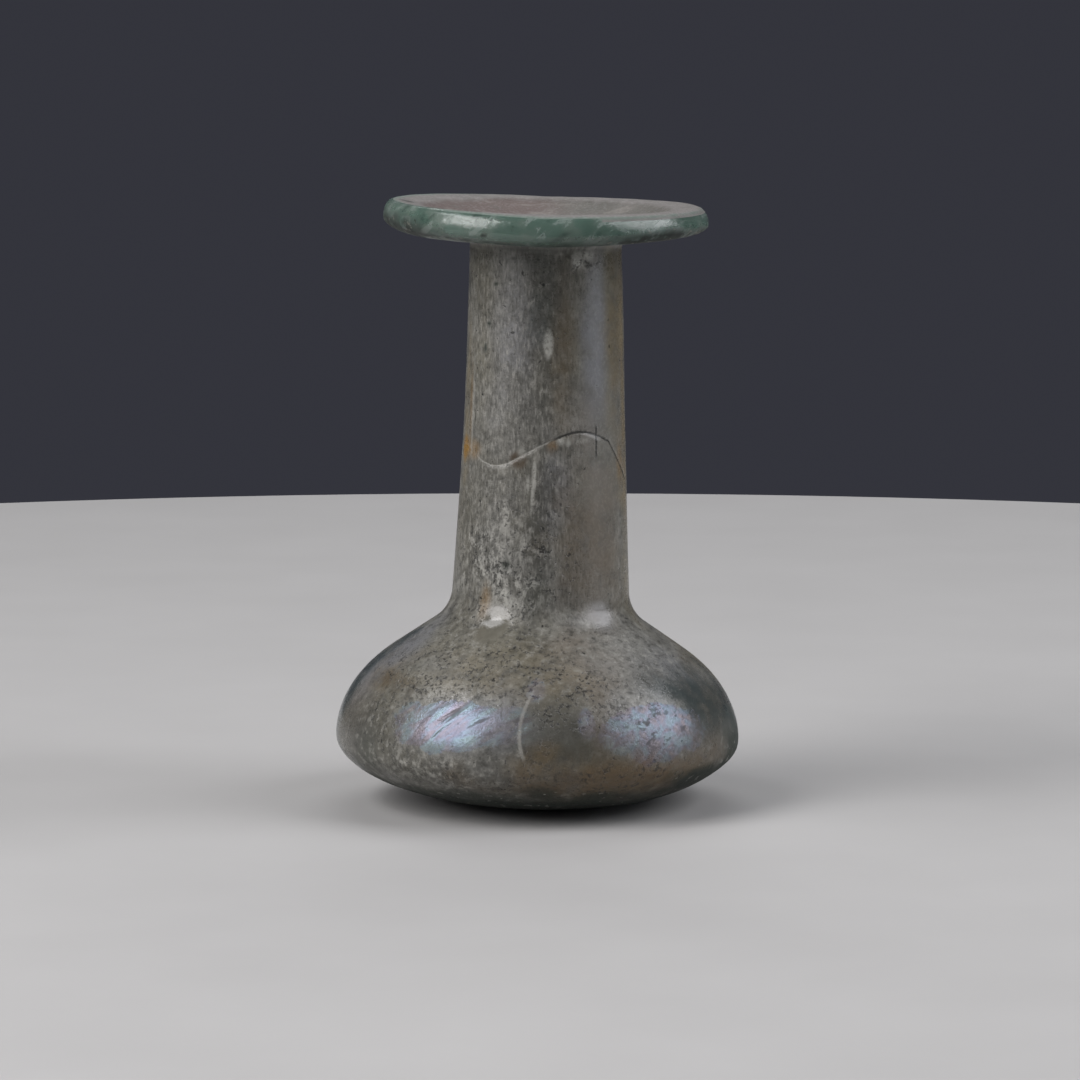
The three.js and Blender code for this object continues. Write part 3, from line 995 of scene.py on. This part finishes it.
def rim_glass():
    """The pale grey-green glass of the folded rim, with pale swirls in it, grime under its edge and painted
    shade along its underside.
    """
    n = Nodes("rim_glass")
    swirls = n.noise(0.0022, 5, 0.6, n.stretched((3, 3, 1), tilt=-35), warp=1.2)
    cloudy = n.noise(0.0035, 5, 0.6)
    grain = n.noise(0.0006, 3, 0.6)
    colour = n.mix(n.between(n.noise(0.010, 3), 0.36, 0.64), RIM_GLASS, RIM_DEEP)
    colour = n.mix(n.between(cloudy, 0.46, 0.62, 0, 0.45), colour, RIM_CLOUD)
    colour = n.mix(n.between(swirls, 0.51, 0.60, 0, 0.6), colour, RIM_SWIRL)
    colour = n.mix(n.between(swirls, 0.42, 0.32, 0, 0.6), colour, RIM_SHADE)
    colour = n.mix(n.times(n.between(n.noise(0.0008, 2), 0.70, 0.76), 0.85), colour, RIM_SPECK)
    # Grime, and painted shade along the rim's underside.
    dirt_and_shade = n.times(n.mark("dirt_and_shade"), n.between(cloudy, 0.36, 0.50, 0.5, 1))
    colour = n.mix(n.times(dirt_and_shade, 0.95), colour, RIM_DIRT_AND_SHADE)
    specks = n.times(n.mark("dirt_and_shade"), n.between(n.noise(0.0011, 2), 0.62, 0.68))
    colour = n.mix(specks, colour, RIM_GRIT)
    n.set(Base_Color=colour, IOR=GLASS_IOR, Transmission_Weight=RIM_CLEARNESS)
    n.set(Roughness=n.plus(n.between(grain, 0.3, 0.7, 0.14, 0.26), n.times(dirt_and_shade, 0.6)))
    n.set(Normal=n.bump(grain, 0.00004, 0.6, n.bump(cloudy, 0.00014, 0.7)))
    return n.material


def rim_deposit():
    """The dry pinkish grey deposit over the rim's top and in its dish."""
    n = Nodes("rim_deposit")
    mottle = n.noise(0.0024, 6, 0.65)
    grain = n.noise(0.0005, 3, 0.6)
    wiped = n.noise(0.0016, 5, 0.6, n.stretched((6, 2, 1)))
    colour = n.mix(n.between(mottle, 0.32, 0.66), DEPOSIT_PALE, DEPOSIT_DARK)
    dish = n.mix(n.mark("left"), DISH_GREY, DISH_RED)
    dish = n.mix(n.between(wiped, 0.44, 0.34, 0, 0.6), dish, DISH_DARK)
    dish = n.mix(n.between(wiped, 0.53, 0.64, 0, 0.50), dish, DISH_WIPED)
    colour = n.mix(n.times(n.mark("dish"), 0.9), colour, dish)
    colour = n.mix(n.times(n.between(grain, 0.55, 0.75), 0.4), colour, DEPOSIT_GRAIN)
    colour = n.mix(n.mark("worn"), colour, DEPOSIT_WORN)
    colour = n.mix(n.mark("nick"), colour, PIT_AND_SHADE)
    n.set(Base_Color=colour, Roughness=n.between(grain, 0.3, 0.7, 0.42, 0.75), IOR=GLASS_IOR)
    n.set(Normal=n.bump(n.plus(mottle, grain), 0.00012, 0.8))
    return n.material


def inner_film():
    """The inside of the bulb and neck, with a thin brownish film left by what was in it."""
    n = Nodes("inner_film")
    mottle = n.noise(0.005, 5, 0.6)
    grain = n.noise(0.0008, 3, 0.6)
    colour = n.mix(n.between(mottle, 0.35, 0.65), INSIDE_PALE, INSIDE_DARK)
    colour = n.mix(n.between(grain, 0.5, 0.8, 0, 0.4), colour, INSIDE_GRAIN)
    n.set(Base_Color=colour, Transmission_Weight=n.between(mottle, 0.35, 0.62, 0.65, 0.3), IOR=GLASS_IOR)
    n.set(Roughness=n.between(grain, 0.3, 0.7, 0.3, 0.5), Normal=n.bump(grain, 0.00006, 0.6))
    return n.material


# ---------------------------------------------------------------------------------------------------------
# The stage: a round pale stand, soft boxes at both sides, above and behind, and the camera.


FLASK_MIDDLE = 0.045  # the height that the lights face, in metres
BACKGROUND = (0.034, 0.035, 0.045, 1)

# The camera: distances in metres, its angle in degrees, and its lens in millimetres.
CAMERA_DISTANCE = 0.8202
CAMERA_DOWN = 7.336
CAMERA_SIDEWAYS = 0.00039
CAMERA_AIM = 0.03937
CAMERA_LENS = 181.67
CAMERA_SENSOR = 36

# Soft boxes: azimuth, elevation, distance, width, height, power in watts and colour.
LIGHTS = {
    "key_left": (-58, 34, 0.95, 0.58, 0.64, 8.5, (1.0, 0.98, 0.98)),
    "fill_right": (84, 36, 1.0, 0.80, 0.66, 7.5, (0.97, 0.97, 1.0)),
    "top_left": (-84, 54, 0.95, 0.50, 0.26, 2.0, (0.98, 0.98, 1.0)),
    "low_left": (-62, 8, 0.95, 0.50, 0.26, 0.5, (1.0, 0.98, 0.96)),
    "low_right": (80, 8, 0.95, 0.36, 0.26, 0.8, (0.93, 0.96, 1.0)),
    "rear": (175, 48, 1.1, 0.8, 0.5, 3.0, (1.0, 1.0, 1.0)),
}


def stand():
    """A round pale disc with a rounded edge, whose top is at z = 0."""
    radius, thickness, bevel = 0.39, 0.012, 0.003
    bevel_steps = 6
    profile = [(0, 0), (radius - bevel, 0)]
    profile += [
        (radius - bevel + bevel * math.sin(t), -bevel + bevel * math.cos(t))
        for t in np.linspace(0, math.pi / 2, bevel_steps + 1)[1:]
    ]
    profile += [(radius, -thickness), (0, -thickness)]
    around = 180
    vertices = [(0, 0, 0), (0, 0, -thickness)]
    rings = []
    for r, z in profile[1:-1]:
        rings.append(len(vertices))
        turns = np.arange(around) / around * 2 * math.pi
        vertices += [(r * math.cos(t), r * math.sin(t), z) for t in turns]
    faces = []
    for k in range(around):
        beside = (k + 1) % around
        faces.append((0, rings[0] + k, rings[0] + beside))
        faces.append((1, rings[-1] + beside, rings[-1] + k))
        for upper, lower in zip(rings, rings[1:]):
            faces.append((upper + k, lower + k, lower + beside, upper + beside))
    mesh = bpy.data.meshes.new("stand")
    mesh.from_pydata(vertices, [], faces)
    n = Nodes("stand_pale")
    n.set(Base_Color=n.mix(n.noise(0.03, 4), STAND_DARK, STAND_PALE), Roughness=0.55)
    mesh.materials.append(n.material)
    floor = bpy.data.objects.new("stand", mesh)
    bpy.context.collection.objects.link(floor)
    return floor


def soft_box(name, azimuth, elevation, distance, width, height, power, colour):
    """A rectangular area light that faces the flask. Azimuth 0 is in front, and 90 is at +X."""
    lamp = bpy.data.lights.new(name, "AREA")
    lamp.shape = "RECTANGLE"
    lamp.size, lamp.size_y = width, height
    lamp.energy = power
    lamp.color = colour
    light = bpy.data.objects.new(name, lamp)
    turn, rise = math.radians(azimuth), math.radians(elevation)
    way = Vector((math.sin(turn) * math.cos(rise), -math.cos(turn) * math.cos(rise), math.sin(rise)))
    light.location = Vector((0, 0, FLASK_MIDDLE)) + way * distance
    light.visible_camera = False
    light.rotation_euler = way.to_track_quat("Z", "Y").to_euler()
    bpy.context.collection.objects.link(light)


def camera():
    """A long lens from a little above, as in a close view of a small thing on a table."""
    down = math.radians(CAMERA_DOWN)
    height = CAMERA_AIM + CAMERA_DISTANCE * math.sin(down)
    lens = bpy.data.cameras.new("camera")
    lens.sensor_width = CAMERA_SENSOR
    lens.lens = CAMERA_LENS
    lens.clip_start, lens.clip_end = 0.01, 20
    view = bpy.data.objects.new("camera", lens)
    view.location = (CAMERA_SIDEWAYS, -CAMERA_DISTANCE * math.cos(down), height)
    view.rotation_euler = (math.pi / 2 - down, 0, 0)
    bpy.context.collection.objects.link(view)
    bpy.context.scene.camera = view


def world():
    sky = bpy.data.worlds.new("world")
    sky.use_nodes = True
    sky.node_tree.nodes["Background"].inputs["Color"].default_value = BACKGROUND
    bpy.context.scene.world = sky


SLOTS = (weathered_glass, rim_glass, rim_deposit, inner_film)

wall = Wall()
mesh = flask_mesh(wall)
for make in SLOTS:
    mesh.materials.append(make())
flask = bpy.data.objects.new("flask_glass", mesh)
bpy.context.collection.objects.link(flask)
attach(flask, "root")
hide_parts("flask")

stand()
for light_name, settings in LIGHTS.items():
    soft_box(light_name, *settings)
world()
camera()
bpy.context.scene.view_settings.view_transform = "Standard"
